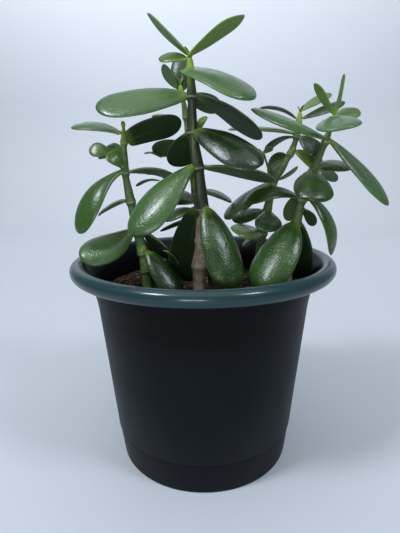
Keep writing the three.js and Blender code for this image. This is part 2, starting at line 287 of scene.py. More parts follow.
potFinish = {
    "body": tint(6, 7, 9), "haze": tint(11, 17, 22), "dusty": tint(18, 25, 32),
    "rim": tint(29, 58, 60), "foot": tint(14, 15, 16),
    # heights of the foot band's top, of the wall clear of painted shade below and in full painted shade
    # above, and of the rim, and the radius inside which the rim's inner slope keeps painted shade
    "footEnd": 0.0255, "hazeFull": 0.098, "hazeTop": 0.128, "rimStart": 0.147, "rimInner": 0.0893,
    # how gradually those zones begin
    "footFade": 0.0015, "rimFade": 0.003, "innerFade": 0.0025,
    "patches": 22.0, "streaks": (160.0, 160.0, 12.0), "scuffs": (60.0, 60.0, 500.0), "fineGrain": 1500.0,
    # how strongly each colour covers the ones under it
    "patchCover": 0.3, "streakCover": 0.22, "rimCover": 0.85, "footCover": 0.5, "scuffCover": 0.25,
    "roughness": 0.36, "specular": 0.1, "coatRoughness": 0.17, "rimCoat": 0.6, "grainDepth": 0.0002,
}


def makePotMaterial():
    look = potFinish
    material, graph, shader, place = startMaterial("pottedPlastic", {
        "Specular IOR Level": look["specular"], "Coat Roughness": look["coatRoughness"]})
    height = graph.node("ShaderNodeSeparateXYZ", {}, {0: place}, "Z")
    haze = graph.noise(place, look["patches"], 5.0, 0.65)
    streaks = graph.noise(place, look["streaks"], 3.0, 0.6)
    fine = graph.noise(place, look["fineGrain"], 2.0, 0.6)
    # painted shade: the wall under the rim keeps the dark body colour, turning to the lighter bluish lower
    # wall colour further down
    low = graph.ramp(look["hazeTop"] - height, 0.0, look["hazeTop"] - look["hazeFull"])
    colour = graph.mix(low, look["body"], look["haze"])
    colour = graph.mix(graph.ramp(haze, 0.42, 0.8) * look["patchCover"] * low, colour, look["dusty"])
    runs = graph.ramp(streaks, 0.6, 0.85)
    colour = graph.mix(runs * look["streakCover"] * low, colour, look["dusty"])
    flat = graph.node("ShaderNodeVectorMath", {"operation": "LENGTH"},
                      {0: graph.stretched(place, (1.0, 1.0, 0.0))}, "Value")
    # painted shade: inside this radius the rim's inner slope keeps the dark body colour and gets no coat
    outsideRimShade = graph.ramp(flat, look["rimInner"], look["rimInner"] + look["innerFade"])
    rim = graph.ramp(height, look["rimStart"], look["rimStart"] + look["rimFade"]) * outsideRimShade
    foot = graph.ramp(look["footEnd"] - height, 0.0, look["footFade"])
    colour = graph.mix(rim * look["rimCover"], colour, look["rim"])
    colour = graph.mix(foot * look["footCover"], colour, look["foot"])
    scuffs = graph.ramp(graph.noise(place, look["scuffs"], 4.0, 0.7), 0.66, 0.8)
    colour = graph.mix(scuffs * look["scuffCover"], colour, look["dusty"])
    roughness = look["roughness"] - rim * 0.06 + haze * 0.16 + scuffs * 0.12
    relief = fine * 0.35 + streaks * 0.4 + haze
    finishMaterial(graph, shader, colour, roughness, relief, look["grainDepth"], rim * look["rimCoat"])
    return material


soilFinish = {
    "wet": tint(26, 18, 14), "dry": tint(74, 54, 40), "chipDark": tint(62, 40, 28),
    "chipLight": tint(128, 92, 66), "gritDark": tint(132, 118, 110), "gritLight": tint(190, 180, 172),
    "lumps": 170.0, "grit": 1200.0, "roughness": 0.78, "depth": 0.0012,
}


def makeSoilMaterial(name, low, high, specular):
    look = soilFinish
    material, graph, shader, place = startMaterial(name, {"Specular IOR Level": specular})
    lumps = graph.noise(place, look["lumps"], 5.0, 0.7)
    grit = graph.noise(place, look["grit"], 3.0, 0.7)
    blend = graph.ramp(lumps * 0.7 + grit * 0.3, 0.35, 0.68)
    colour = graph.mix(blend, look[low], look[high])
    roughness = look["roughness"] + lumps * 0.2
    finishMaterial(graph, shader, colour, roughness, lumps + grit * 0.5, look["depth"])
    return material


floorFinish = {
    "near": tint(188, 194, 202), "far": tint(196, 201, 208), "drift": 1.2, "roughness": 0.75,
    "specular": 0.13,
}


def makeFloorMaterial():
    look = floorFinish
    material, graph, shader, place = startMaterial("paleFloor", {"Specular IOR Level": look["specular"]})
    drift = graph.noise(place, look["drift"], 2.0)
    colour = graph.mix(drift, look["near"], look["far"])
    finishMaterial(graph, shader, colour, look["roughness"] + drift * 0.1)
    return material


leafMaterial = makeLeafMaterial("waxyLeaf", leafFinish["upperSpecular"])
undersideMaterial = makeLeafMaterial("leafUnderside", leafFinish["underSpecular"])
stemMaterial = makeStemMaterial()
potMaterial = makePotMaterial()
soilMaterial = makeSoilMaterial("pottingSoil", "wet", "dry", 0.25)
crumbMaterial = makeSoilMaterial("soilCrumb", "wet", "dry", 0.3)
chipMaterial = makeSoilMaterial("barkChip", "chipDark", "chipLight", 0.35)
gritMaterial = makeSoilMaterial("paleGrit", "gritDark", "gritLight", 0.3)
print("materials made")


# Mesh helpers

def linkObject(name, data):
    made = bpy.data.objects.new(name, data)
    bpy.context.scene.collection.objects.link(made)
    return made


def linkMesh(name, points, faces, material):
    mesh = bpy.data.meshes.new(name)
    mesh.from_pydata([tuple(point) for point in points], [], faces)
    mesh.materials.append(material)
    mesh.shade_smooth()
    return linkObject(name, mesh)


# a chain of edges through points, for a Geometry Nodes tree to build on
def linkRoute(name, points):
    mesh = bpy.data.meshes.new(name)
    edges = [(i, i + 1) for i in range(len(points) - 1)]
    mesh.from_pydata([tuple(point) for point in points], edges, [])
    return linkObject(name, mesh)


def circlePoints(radius, height, sides, x=0, y=0):
    turns = [math.tau * side / sides for side in range(sides)]
    return [(x + radius * math.cos(turn), y + radius * math.sin(turn), height) for turn in turns]


# gives a mesh point attributes, each one value for all its points or a value for each
def pointValues(made, columns):
    for name, values in columns.items():
        layer = made.data.attributes.new(name, "FLOAT", "POINT")
        column = np.broadcast_to(np.float32(values), len(made.data.vertices))
        layer.data.foreach_set("value", np.ascontiguousarray(column))


# rings of vertices from an open end inwards, plus a point that closes each end
def loftFaces(rings, sides):
    faces = []
    for ring in range(rings - 1):
        for side in range(sides):
            here = ring * sides + side
            beside = ring * sides + (side + 1) % sides
            faces.append((here, beside, beside + sides, here + sides))
    first = rings * sides
    last = first + 1
    top = (rings - 1) * sides
    for side in range(sides):
        faces.append((first, (side + 1) % sides, side))
        faces.append((last, top + side, top + (side + 1) % sides))
    return faces


# the CAD solids of stems and leaves are stacks of rings between two end points
def ringsOf(node):
    shape = bmesh.new()
    shape.from_mesh(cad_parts[node].data)
    bmesh.ops.remove_doubles(shape, verts=shape.verts, dist=2e-6)
    ends = sorted(shape.verts, key=lambda vert: -len(vert.link_edges))[:2]
    start = min(ends, key=lambda vert: vert.co.z)
    seen = {start}
    rings = [[start]]
    while rings[-1]:
        grown = []
        for vert in rings[-1]:
            for edge in vert.link_edges:
                other = edge.other_vert(vert)
                if other not in seen:
                    seen.add(other)
                    grown.append(other)
        rings.append(grown)
    found = [np.array([vert.co[:] for vert in ring]) for ring in rings[:-1]]
    shape.free()
    return found


def spread(ring):
    return 2 * np.linalg.norm(ring - ring.mean(0), axis=1).max()


def unit(vector):
    return vector / np.linalg.norm(vector)


# Stems

weldReach = 0.00001
stemParams = {
    "spacing": 0.0008, "sides": 28, "barkDepth": 0.0007, "barkScale": 260.0, "leastRadius": 0.0003,
    # the skin's relief, finer along the stem, on green skin and the extra on bark
    "reliefStretch": (1.0, 1.0, 0.35), "skinRelief": 0.5, "barkRelief": 1.6,
    "scarReach": 0.0009, "collarReach": 0.0024, "collarHeight": 0.0003,
    # width of the bud end, as a share of the last node's, how much it narrows, and how blunt it is
    "tipShare": 0.8, "tipTaper": 0.12, "tipBluntness": 6,
    # height range over which bark gives way to green skin
    "barkEnds": {"main": (0.166, 0.214), "left": (0.124, 0.136), "right": (0.128, 0.165),
                 "middle": (0.128, 0.160), "back": (0.120, 0.140)},
    "woody": {"main": 0.85, "left": 0.3, "right": 0.3, "middle": 0.1, "back": 0.15},
    # height ranges of yellow-green skin, and how strong it is
    "pale": {"main": (0.165, 0.176), "left": (0.126, 0.166), "middle": (0.150, 0.250),
             "back": (0.150, 0.260)},
    "paleness": {"main": 0.7, "left": 0.45, "middle": 0.4, "back": 0.6},
}


class Stem:
    def __init__(self, name):
        rings = ringsOf(name + "_stem")
        self.name = name
        self.centres = np.array([ring.mean(0) for ring in rings])
        self.heights = self.centres[:, 2]
        self.radii = np.array([spread(ring) / 2 for ring in rings])
        self.radii[0] = self.radii[1]
        inner = range(1, len(rings) - 1)
        self.nodes = [self.heights[i] for i in inner
                      if self.radii[i] > max(self.radii[i - 1], self.radii[i + 1])]

    def axis(self, height):
        return np.array([np.interp(height, self.heights, self.centres[:, i]) for i in range(3)])

    def radius(self, height):
        return np.interp(height, self.heights, self.radii)


def stemTree():
    look = stemParams
    tree, graph, route = startTree("tubeAlongRoute", {
        "Route": "Geometry", "Sides": "Int", "Bark Depth": "Float", "Bark Scale": "Float"})
    curve = graph.node("GeometryNodeMeshToCurve", {}, {"Mesh": route})
    circle = graph.node("GeometryNodeCurvePrimitiveCircle", {},
                        {"Resolution": route.output("Sides"), "Radius": 1.0})
    tube = graph.node("GeometryNodeCurveToMesh", {}, {
        "Curve": curve, "Profile Curve": circle, "Scale": graph.stored("radius"), "Fill Caps": True})
    place = graph.stretched(graph.node("GeometryNodeInputPosition"), look["reliefStretch"])
    rough = graph.noise(place, route.output("Bark Scale"), 3.0, 0.6) - 0.5
    relief = graph.stored("bark") * look["barkRelief"] + look["skinRelief"]
    tube = graph.push(tube, rough * route.output("Bark Depth") * relief)
    tube = graph.node("GeometryNodeMergeByDistance", {}, {"Geometry": tube, "Distance": weldReach})
    tube = graph.node("GeometryNodeSetShadeSmooth", {}, {"Geometry": tube})
    graph.finish(tube, stemMaterial)
    return tree


# runs a Geometry Nodes tree on an object and leaves its result as a plain mesh
def applyTree(made, tree, values, material):
    modifier = made.modifiers.new(tree.name, "NODES")
    modifier.node_group = tree
    for item in tree.interface.items_tree:
        if item.item_type == "SOCKET" and item.name in values:
            modifier[item.identifier] = values[item.name]
    made.update_tag()
    evaluated = made.evaluated_get(bpy.context.evaluated_depsgraph_get())
    mesh = bpy.data.meshes.new_from_object(evaluated)
    made.modifiers.remove(modifier)
    mesh.materials.clear()
    mesh.materials.append(material)
    made.data = mesh


def makeStem(stem, tree):
    look = stemParams
    low, high = stem.heights[0], stem.heights[-1]
    heights = np.arange(low, high, look["spacing"])
    points = np.array([stem.axis(height) for height in heights])
    radii = np.array([stem.radius(height) for height in heights])
    # above the last node the stem keeps its width, and then closes in a round end
    shoot = np.clip((heights - stem.nodes[-1]) / (high - stem.nodes[-1]), 0, 1)
    width = stem.radius(stem.nodes[-1]) * (look["tipShare"] - look["tipTaper"] * shoot)
    ended = width * np.sqrt(1 - shoot ** look["tipBluntness"])
    radii = np.where(shoot > 0, np.maximum(radii, ended), radii)
    scars = np.zeros(len(heights))
    for node in stem.nodes:
        away = heights - node
        radii += look["collarHeight"] * np.exp(-(away / look["collarReach"]) ** 2)
        scars = np.maximum(scars, np.exp(-(away / look["scarReach"]) ** 2))
    barkLow, barkHigh = look["barkEnds"][stem.name]
    bark = np.clip((barkHigh - heights) / (barkHigh - barkLow), 0, 1)
    paleLow, paleHigh = look["pale"].get(stem.name, (0, 0))
    pale = look["paleness"].get(stem.name, 0) * ((heights > paleLow) & (heights < paleHigh))
    made = linkRoute(stem.name + "Stem", points)
    pointValues(made, {
        "radius": np.maximum(radii, look["leastRadius"]), "scar": scars, "bark": bark, "pale": pale,
        "woody": look["woody"][stem.name], "along": (heights - low) / (high - low)})
    values = {"Sides": look["sides"], "Bark Depth": look["barkDepth"], "Bark Scale": look["barkScale"]}
    applyTree(made, tree, values, stemMaterial)
    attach(made, "root")
    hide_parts(stem.name + "_stem")


stems = {name: Stem(name) for name in ("main", "left", "right", "middle", "back")}
tubeTree = stemTree()
for stem in stems.values():
    makeStem(stem, tubeTree)
print("stems made")


# Leaves

leafParams = {
    "stations": 44, "sides": 30, "fullest": 0.62, "tipPower": 2.4, "fullness": (0.75, 1.05),
    "pointed": 0.5, "clasp": 0.22, "dome": 0.08, "tone": (0.1, 0.9), "youth": 0.0,
    # thickness of a leaf of full width, and how it falls in narrow leaves and near both ends
    "thickness": 0.0044, "thinShare": 0.05, "fullWidth": 0.026, "endThickness": 0.62, "swellPower": 0.8,
    "deepest": 0.85, "tipRound": 0.1, "sectionPower": 0.9,
    # the neck inside the stem's skin
    "rootSteps": 3, "rootAlong": -0.02, "rootLift": 0.0008, "rootDepth": 0.55,
    "leastBase": 0.0011, "neckEnd": 0.3,
    "channel": 0.30, "channelWidth": 0.3, "cup": 0.035, "cupLevel": 0.4, "skew": 0.05,
    "ripple": 0.0005, "rippleScale": 55.0, "rippleStep": 9.0, "rippleWidth": 0.006,
}
leafChance = np.random.default_rng(57)


class Blade:
    # a leaf's middle line and width direction, smoothed into curves of its length
    def __init__(self, stations, centres, acrosses, width):
        self.line = [np.polyfit(stations, centres[:, i], 3) for i in range(3)]
        self.slope = [np.polyder(curve) for curve in self.line]
        self.turn = [np.polyfit(stations[1:-1], acrosses[:, i], 2) for i in range(3)]
        self.width = width

    def at(self, along):
        centre = np.array([np.polyval(curve, along) for curve in self.line])
        forward = unit(np.array([np.polyval(curve, along) for curve in self.slope]))
        across = np.array([np.polyval(curve, along) for curve in self.turn])
        across = unit(across - forward * across.dot(forward))
        return centre, across, np.cross(forward, across)


def bladeOf(node):
    rings = ringsOf(node)
    if spread(rings[2]) > spread(rings[-3]):
        rings.reverse()
    stations = (1 - np.cos(np.linspace(0, np.pi, len(rings)))) / 2
    centres = np.array([ring.mean(0) for ring in rings])
    acrosses = []
    for ring in rings[1:-1]:
        arms = ring - ring.mean(0)
        arm = unit(arms[np.linalg.norm(arms, axis=1).argmax()])
        if acrosses and arm.dot(acrosses[-1]) < 0:
            arm = -arm
        acrosses.append(arm)
    acrosses = np.array(acrosses)
    # the upper face is the one that looks up where the leaf leaves its stem
    if np.cross(centres[1] - centres[0], acrosses[0])[2] < 0:
        acrosses = -acrosses
    return Blade(stations, centres, acrosses, max(spread(ring) for ring in rings[1:-1]))


# a leaf's half width over its largest: a narrow base, fullest past the middle, and a blunt tip
def outline(along, fullness, pointed, clasp):
    look = leafParams
    share = min(max(along, 0.0), 1.0)
    swell = math.sin(math.pi / 2 * min(share / look["fullest"], 1.0)) ** fullness
    tip = max(0.0, share - look["fullest"]) / (1 - look["fullest"])
    closing = (1 - tip ** look["tipPower"]) ** pointed
    return (clasp + (1 - clasp) * swell) * closing


# rings of a leaf from inside the stem to its tip, each a centre, two directions and a share of length
def leafSections(blade, root):
    look = leafParams
    base, across, normal = blade.at(0.0)
    sections = []
    for step in range(look["rootSteps"]):
        share = step / look["rootSteps"]
        sections.append((root + (base - root) * share, across, normal, look["rootAlong"]))
    for station in range(look["stations"]):
        along = (1 - math.cos(math.pi * (station + 0.5) / look["stations"])) / 2
        sections.append((*blade.at(along), along))
    return sections


def leafDepth(along, wide, thickness):
    look = leafParams
    late = max(0.0, along - 1 + look["tipRound"]) / look["tipRound"]
    swell = math.sin(math.pi * max(along, 0.0) ** look["swellPower"])
    body = look["endThickness"] + (1 - look["endThickness"]) * swell
    return min(thickness / 2 * body * math.sqrt(max(0.0, 1 - late ** 2)), wide * look["deepest"])


def makeLeaf(name, blade, root, shape):
    look = leafParams
    chance, cup, skew, ripplePlace = leafChance.uniform(-1, 1, 4)
    fullness = shape.get("fullness") or leafChance.uniform(*look["fullness"])
    pointed, clasp, dome = (shape.get(key, look[key]) for key in ("pointed", "clasp", "dome"))
    # the tone is random unless leafShapes sets it, to paint shade or light onto that leaf
    tone = shape.get("tone", np.interp(chance, (-1, 1), look["tone"]))
    thickness = look["thickness"] * min(1.0, look["thinShare"] + blade.width / look["fullWidth"])
    bend = cup * look["cup"] - dome
    sections = leafSections(blade, root)
    points = []
    values = {"along": [], "across": [], "side": []}
    for centre, across, normal, along in sections:
        wide = outline(along, fullness, pointed, clasp) * blade.width / 2
        wide = max(wide, look["leastBase"] * (along < look["neckEnd"]))
        deep = leafDepth(along, wide, thickness)
        for side in range(look["sides"]):
            angle = math.tau * side / look["sides"]
            x = math.cos(angle)
            z = math.copysign(abs(math.sin(angle)) ** look["sectionPower"], math.sin(angle))
            groove = look["channel"] * math.exp(-(x / look["channelWidth"]) ** 2) * (1 - along) * (z > 0)
            sway = 1 + look["skew"] * skew * math.sin(math.tau * along) * x
            lift = z * deep * (1 - groove) + bend * wide * (x * x - look["cupLevel"])
            point = centre + across * (x * wide * sway) + normal * lift
            spot = Vector(point) * look["rippleScale"] + Vector((ripplePlace * look["rippleStep"], 0, 0))
            ripple = noise.noise(spot) * look["ripple"] * min(1, wide / look["rippleWidth"])
            points.append(point + normal * ripple)
            values["along"].append(max(along, 0))
            values["across"].append(x)
            values["side"].append(z)
    points += [root, blade.at(1.0)[0]]
    for key, ends in (("along", (0, 1)), ("across", (0, 1)), ("side", (0, 0))):
        values[key] += ends
    made = linkMesh(name, points, loftFaces(len(sections), look["sides"]), leafMaterial)
    made.data.materials.append(undersideMaterial)
    sides = np.array(values["side"])
    for face in made.data.polygons:
        face.material_index = int(sides[list(face.vertices)].mean() < 0)
    pointValues(made, {**values, "tone": tone, "youth": shape.get("youth", look["youth"])})
    return made


# where a leaf joins its stem: just inside the stem's skin, or its bud above the last node
def rootOn(stem, blade):
    look = leafParams
    base = blade.at(0.0)[0]
    middle = stem.axis(min(base[2], stem.heights[-2]))
    inward = base - middle
    inward[2] = 0
    reach = np.linalg.norm(inward)
    middle[2] = min(base[2] + look["rootLift"], stem.heights[-1])
    return middle + inward * min(1.0, look["rootDepth"] * stem.radius(base[2]) / reach)


# where a leaf isn't the usual one in leafParams: low "fullness" is fuller near the stem, high
# "pointed" has a sharper tip, "clasp" is the base's share of the width, "dome" bends the sides down,
# the tone runs from 0, a leaf darkened as painted shade, to 1, a pale leaf lightened as painted
# light, and "youth" makes it yellower
leafShapes = {
    "main_crown_left": {"fullness": 0.7, "pointed": 0.8, "clasp": 0.34, "tone": 1.0, "youth": 0.25},
    "main_crown_right": {"fullness": 0.9, "pointed": 0.85, "clasp": 0.3, "tone": 1.0, "youth": 0.6},
    "main_second_back": {"pointed": 0.85, "clasp": 0.34, "youth": 0.3},
    "main_second_front": {"fullness": 0.5, "pointed": 0.55, "clasp": 0.7, "tone": 0.8},
    "main_third_left": {"fullness": 0.7, "tone": 0.8},
    "main_third_right": {"tone": 0.2},
    "main_fourth_back": {"tone": 0.1},
    "main_fourth_front": {"fullness": 0.6, "dome": 0.25, "tone": 0.1},
    "main_fifth_front": {"fullness": 1.1, "dome": 0.22, "tone": 0.8},
    "main_fifth_right": {"pointed": 0.75},
    "main_sixth_back": {"fullness": 0.6, "tone": 0.0},
    "main_sixth_front": {"fullness": 0.65, "dome": 0.3, "tone": 0.35},
    "left_crown_left": {"fullness": 1.3, "pointed": 0.7, "clasp": 0.3, "tone": 1.0},
    "left_crown_right": {"fullness": 0.6, "clasp": 0.6, "tone": 0.1},
    "left_third_front": {"fullness": 1.7, "dome": 0.2, "tone": 0.6},
    "left_fifth_front": {"fullness": 0.9, "dome": 0.2, "tone": 0.9},
    "left_low_right": {"fullness": 0.7, "dome": 0.25},
    "right_crown_left": {"pointed": 0.7, "youth": 0.5},
    "right_crown_back": {"pointed": 0.7, "youth": 0.25},
    "right_second_front": {"pointed": 0.6, "clasp": 0.35, "tone": 0.9},
    "right_second_right": {"pointed": 0.75, "youth": 0.2},
    "right_third_left": {"pointed": 0.6, "tone": 0.8},
    "right_third_right": {"pointed": 0.65},
    "right_fourth_front": {"fullness": 0.9, "dome": 0.25},
    "right_fifth_left": {"pointed": 0.7},
    "right_fifth_right": {"fullness": 1.0, "pointed": 0.75},
    "right_sixth_back": {"tone": 0.0},
    "right_sixth_front": {"fullness": 0.6, "dome": 0.3, "tone": 0.5},
    "middle_crown_right": {"youth": 0.3},
    "middle_second_left": {"pointed": 0.7, "youth": 0.25},
    "middle_fourth_right": {"tone": 0.6, "youth": 0.3},
    "middle_fifth_front": {"tone": 0.8},
    "middle_sixth_front": {"tone": 0.9},
    "middle_sixth_left": {"tone": 0.5},
    "middle_low_left": {"tone": 0.8, "youth": 0.35},
    "back_crown_right": {"fullness": 0.6},
    "back_third_left": {"youth": 0.1},
    "back_fifth_left": {"youth": 0.3},
    "back_fifth_low": {"pointed": 0.7},
}


def makeCadLeaves():
    for node in sorted(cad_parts):
        if not node.endswith("_leaf"):
            continue
        known = node.removesuffix("_leaf")
        stemName, *words = known.split("_")
        blade = bladeOf(node)
        name = stemName + "".join(word.capitalize() for word in words) + "Leaf"
        made = makeLeaf(name, blade, rootOn(stems[stemName], blade), leafShapes.get(known, {}))
        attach(made, "root")
        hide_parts(node)


makeCadLeaves()
print("leaves made")


# Small leaves and shoots with no CAD node of their own, in degrees and metres

# side shoots: a stalk as (base, heading, rise, length, radius), then its leaves as
# (base, heading, rise, length, width share, roll)
sprigs = {
    "leftShoot": ("green_stem", [((-0.058, 0.001, 0.224), -152, 42, 0.018, 0.0015)], [
        ((-0.067, -0.005, 0.236), -178, 14, 0.016, 0.75, 60),
        ((-0.059, 0.004, 0.236), 165, 14, 0.018, 0.8, 40),
        ((-0.065, -0.002, 0.234), -172, -4, 0.012, 0.6, 30),
        ((-0.059, -0.004, 0.227), -165, 42, 0.014, 0.8, 60)]),
    "rightTwig": ("green_stem", [((0.055, 0.030, 0.213), 165, 72, 0.025, 0.0010)], [
        ((0.047, 0.032, 0.236), -15, 25, 0.009, 0.6, 50),
        ((0.047, 0.032, 0.236), -128, -70, 0.007, 0.6, 0),
        ((0.047, 0.032, 0.236), 168, 12, 0.010, 0.6, 50)]),
}
# single small leaves as (base, heading, rise, length, youth)
strayLeaves = {
    "mainStray": [
        ((-0.002, 0.005, 0.252), 66, 47, 0.015, 0.8), ((-0.019, 0.020, 0.260), 165, 12, 0.023, 0.8),
        ((-0.034, 0.020, 0.234), 148, 10, 0.017, 0.1), ((-0.027, 0.022, 0.215), 158, 14, 0.022, 0.2),
        ((-0.035, 0.010, 0.216), 162, -13, 0.020, 0.1), ((-0.020, 0.004, 0.152), -160, 42, 0.016, 0.3)],
    "rightStray": [
        ((0.088, 0.002, 0.222), 54, -21, 0.024, 0.0), ((0.071, 0.003, 0.205), 110, -62, 0.024, 0.1),
        ((0.077, 0.004, 0.194), 54, -44, 0.021, 0.0)],
    "middleStray": [((0.048, 0.034, 0.169), -153, -26, 0.020, 0.0)],
}
# how far a small leaf's root goes into its stem
smallRoot = 0.001


def direction(heading, rise):
    heading, rise = math.radians(heading), math.radians(rise)
    return np.array([math.cos(heading) * math.cos(rise), math.sin(heading) * math.cos(rise),
                     math.sin(rise)])


def smallBlade(base, heading, rise, length, widthShare=0.5, roll=0, curl=0.12, stations=9):
    forward = direction(heading, rise)
    up = direction(heading, rise + 90)
    level = np.cross(up, forward)
    up = up * math.cos(math.radians(roll)) + level * math.sin(math.radians(roll))
    shares = np.linspace(0, 1, stations)
    bow = curl * length * np.sin(np.pi * shares)
    centres = np.array([np.array(base) + forward * length * t + up * b for t, b in zip(shares, bow)])
    acrosses = np.repeat([np.cross(up, forward)], len(shares) - 2, axis=0)
    return Blade(shares, centres, acrosses, length * widthShare)


def placeExtra(made):
    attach(made, "root")


def placeSmallLeaf(name, base, heading, rise, length, shape, widthShare=0.5, roll=0):
    blade = smallBlade(base, heading, rise, length, widthShare, roll)
    root = np.array(base) - direction(heading, rise) * smallRoot
    placeExtra(makeLeaf(name, blade, root, shape))


stalkParams = {"steps": 16, "taper": 0.8, "woody": 0.3, "along": (0.4, 0.97)}
stalkSkin = {"Sides": 14, "Bark Depth": 0.0003, "Bark Scale": 400.0}
sprigShape = {"fullness": 0.8, "pointed": 0.6, "dome": 0.0, "tone": 0.7, "youth": 0.15}


def makeStalk(name, slot, base, heading, rise, length, radius):
    look = stalkParams
    count = look["steps"] + 1
    shares = np.linspace(0, 1, count)
    points = [np.array(base) + direction(heading, rise) * length * share for share in shares]
    made = linkRoute(name, points)
    pointValues(made, {
        "radius": np.linspace(radius, radius * look["taper"], count), "scar": 0, "bark": 0, "pale": 0,
        "woody": look["woody"], "along": np.linspace(*look["along"], count)})
    applyTree(made, tubeTree, stalkSkin, stemMaterial)
    placeExtra(made)


for name, (slot, stalks, leaves) in sprigs.items():
    for stalk in stalks:
        makeStalk(name + "Stalk", slot, *stalk)
    for number, (base, heading, rise, length, widthShare, roll) in enumerate(leaves, 1):
        placeSmallLeaf(f"{name}Leaf{number}", base, heading, rise, length, sprigShape, widthShare, roll)
for name, leaves in strayLeaves.items():
    for number, (base, heading, rise, length, youth) in enumerate(leaves, 1):
        placeSmallLeaf(f"{name}Leaf{number}", base, heading, rise, length, {"youth": youth})

# a pair of closed young leaves on the tip of each stem
budParams = {
    "headings": {"main": 20, "left": 100, "right": 60, "middle": 150, "back": 20},
    "sunk": 0.002, "rise": 68, "length": 0.007, "mainLength": 0.009, "widthShare": 0.45,
}


def makeBuds():
    look = budParams
    for stemName, heading in look["headings"].items():
        tip = stems[stemName].centres[-1] - np.array([0, 0, look["sunk"]])
        length = look["mainLength"] if stemName == "main" else look["length"]
        for number, turn in enumerate((0, 180), 1):
            blade = smallBlade(tip, heading + turn, look["rise"], length, look["widthShare"])
            root = tip - np.array([0, 0, smallRoot])
            placeExtra(makeLeaf(f"{stemName}Bud{number}", blade, root, {"youth": 1.0}))


makeBuds()
print("shoots made")


# Pot

potParams = {
    "sides": 160,
    # the section from the middle of the underside, out, up the wall, round the rim and back inside
    "section": [
        (0, 0), (22, 0), (23, 0.6), (23.4, 3), (38, 3), (55, 3), (56, 2.6), (56.4, 0.4), (57, 0),
        (66.2, 0), (67.1, 0.4), (67.5, 1.5), (70.3, 23.2), (70.5, 24.3), (70.45, 24.9), (70.7, 25.3),
        (71.1, 25.9), (76.3, 78), (80.7, 122), (81.3, 127), (81.9, 130.5), (82.6, 133.5), (83.2, 137),
        (83.9, 141.5), (84.6, 146.2), (85.2, 147.6), (86.4, 148.4)],
    # the rolled rim: its centre and radius, then its first and last angle and how many points it has
    "rollCentre": (94.5, 153.5), "rollRadius": 5.5, "roll": (-140, 122, 21),
    "inside": [
        (90.6, 157.3), (89.6, 156.2), (88.2, 154.2), (86.5, 152), (82.3, 144), (81.5, 134.5), (81, 133),
        (79.6, 131.5), (68.9, 25.5), (65.3, 7), (63.8, 5.5), (0, 5.5)],
    "wobble": 0.0003, "wobbleScale": 14.0,
}


def potSection():
    look = potParams
    points = list(look["section"])
    x, z = look["rollCentre"]
    for angle in np.radians(np.linspace(*look["roll"])):
        points.append((x + look["rollRadius"] * math.cos(angle), z + look["rollRadius"] * math.sin(angle)))
    return [(x / 1000, 0, z / 1000) for x, z in points + look["inside"]]


def potTree():
    inputs = {"Section": "Geometry", "Sides": "Int", "Wobble": "Float"}
    tree, graph, given = startTree("turnedSection", inputs)
    # the turned surface is a grid whose rows follow the section and whose columns go round
    count = graph.node("GeometryNodeAttributeDomainSize", {"component": "MESH"}, {"Geometry": given},
                       "Point Count")
    columns = given.output("Sides") + 1
    grid = graph.node("GeometryNodeMeshGrid", {}, {"Vertices X": count, "Vertices Y": columns})
    index = graph.node("GeometryNodeInputIndex")
    row = graph.node("ShaderNodeMath", {"operation": "FLOOR"}, {0: index / columns})
    column = index % columns
    position = graph.node("GeometryNodeInputPosition")
    point = graph.node("GeometryNodeSampleIndex", {"data_type": "FLOAT_VECTOR", "domain": "POINT"},
                       {"Geometry": given, "Value": position, "Index": row}, "Value")
    turned = graph.node("ShaderNodeVectorRotate", {"rotation_type": "Z_AXIS"},
                        {"Vector": point, "Angle": column * math.tau / given.output("Sides")})
    pot = graph.node("GeometryNodeSetPosition", {}, {"Geometry": grid, "Position": turned})
    pot = graph.node("GeometryNodeMergeByDistance", {}, {"Geometry": pot, "Distance": weldReach})
    place = graph.node("GeometryNodeInputPosition")
    sway = graph.noise(place, potParams["wobbleScale"], 1.0) - 0.5
    pot = graph.push(pot, sway * given.output("Wobble"))
    pot = graph.node("GeometryNodeSetShadeSmooth", {}, {"Geometry": pot})
    graph.finish(pot, potMaterial)
    return tree


def tidyNormals(made):
    shape = bmesh.new()
    shape.from_mesh(made.data)
    bmesh.ops.remove_doubles(shape, verts=shape.verts, dist=1e-6)
    bmesh.ops.recalc_face_normals(shape, faces=shape.faces)
    shape.to_mesh(made.data)
    shape.free()


drainParams = {"count": 6, "circle": 0.039, "radius": 0.005, "sides": 24, "ends": (-0.002, 0.008)}


def drainCutter():
    look = drainParams
    points, faces = [], []
    for hole in range(look["count"]):
        turn = math.tau * hole / look["count"]
        x, y = look["circle"] * math.cos(turn), look["circle"] * math.sin(turn)
        start = len(points)
        faces += [tuple(start + corner for corner in face) for face in loftFaces(2, look["sides"])]
        for height in look["ends"]:
            points += circlePoints(look["radius"], height, look["sides"], x, y)
        points += [(x, y, height) for height in look["ends"]]
    return linkMesh("drainCutter", points, faces, potMaterial)


def makePot():
    made = linkRoute("growerPot", potSection())
    values = {"Sides": potParams["sides"], "Wobble": potParams["wobble"]}
    applyTree(made, potTree(), values, potMaterial)
    tidyNormals(made)
    cutter = drainCutter()
    cut = made.modifiers.new("drain", "BOOLEAN")
    cut.object = cutter
    cut.operation = "DIFFERENCE"
    evaluated = made.evaluated_get(bpy.context.evaluated_depsgraph_get())
    made.data = bpy.data.meshes.new_from_object(evaluated)
    made.modifiers.remove(cut)
    bpy.data.objects.remove(cutter)
    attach(made, "root")
    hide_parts("pot")


makePot()
print("pot made")


# Soil

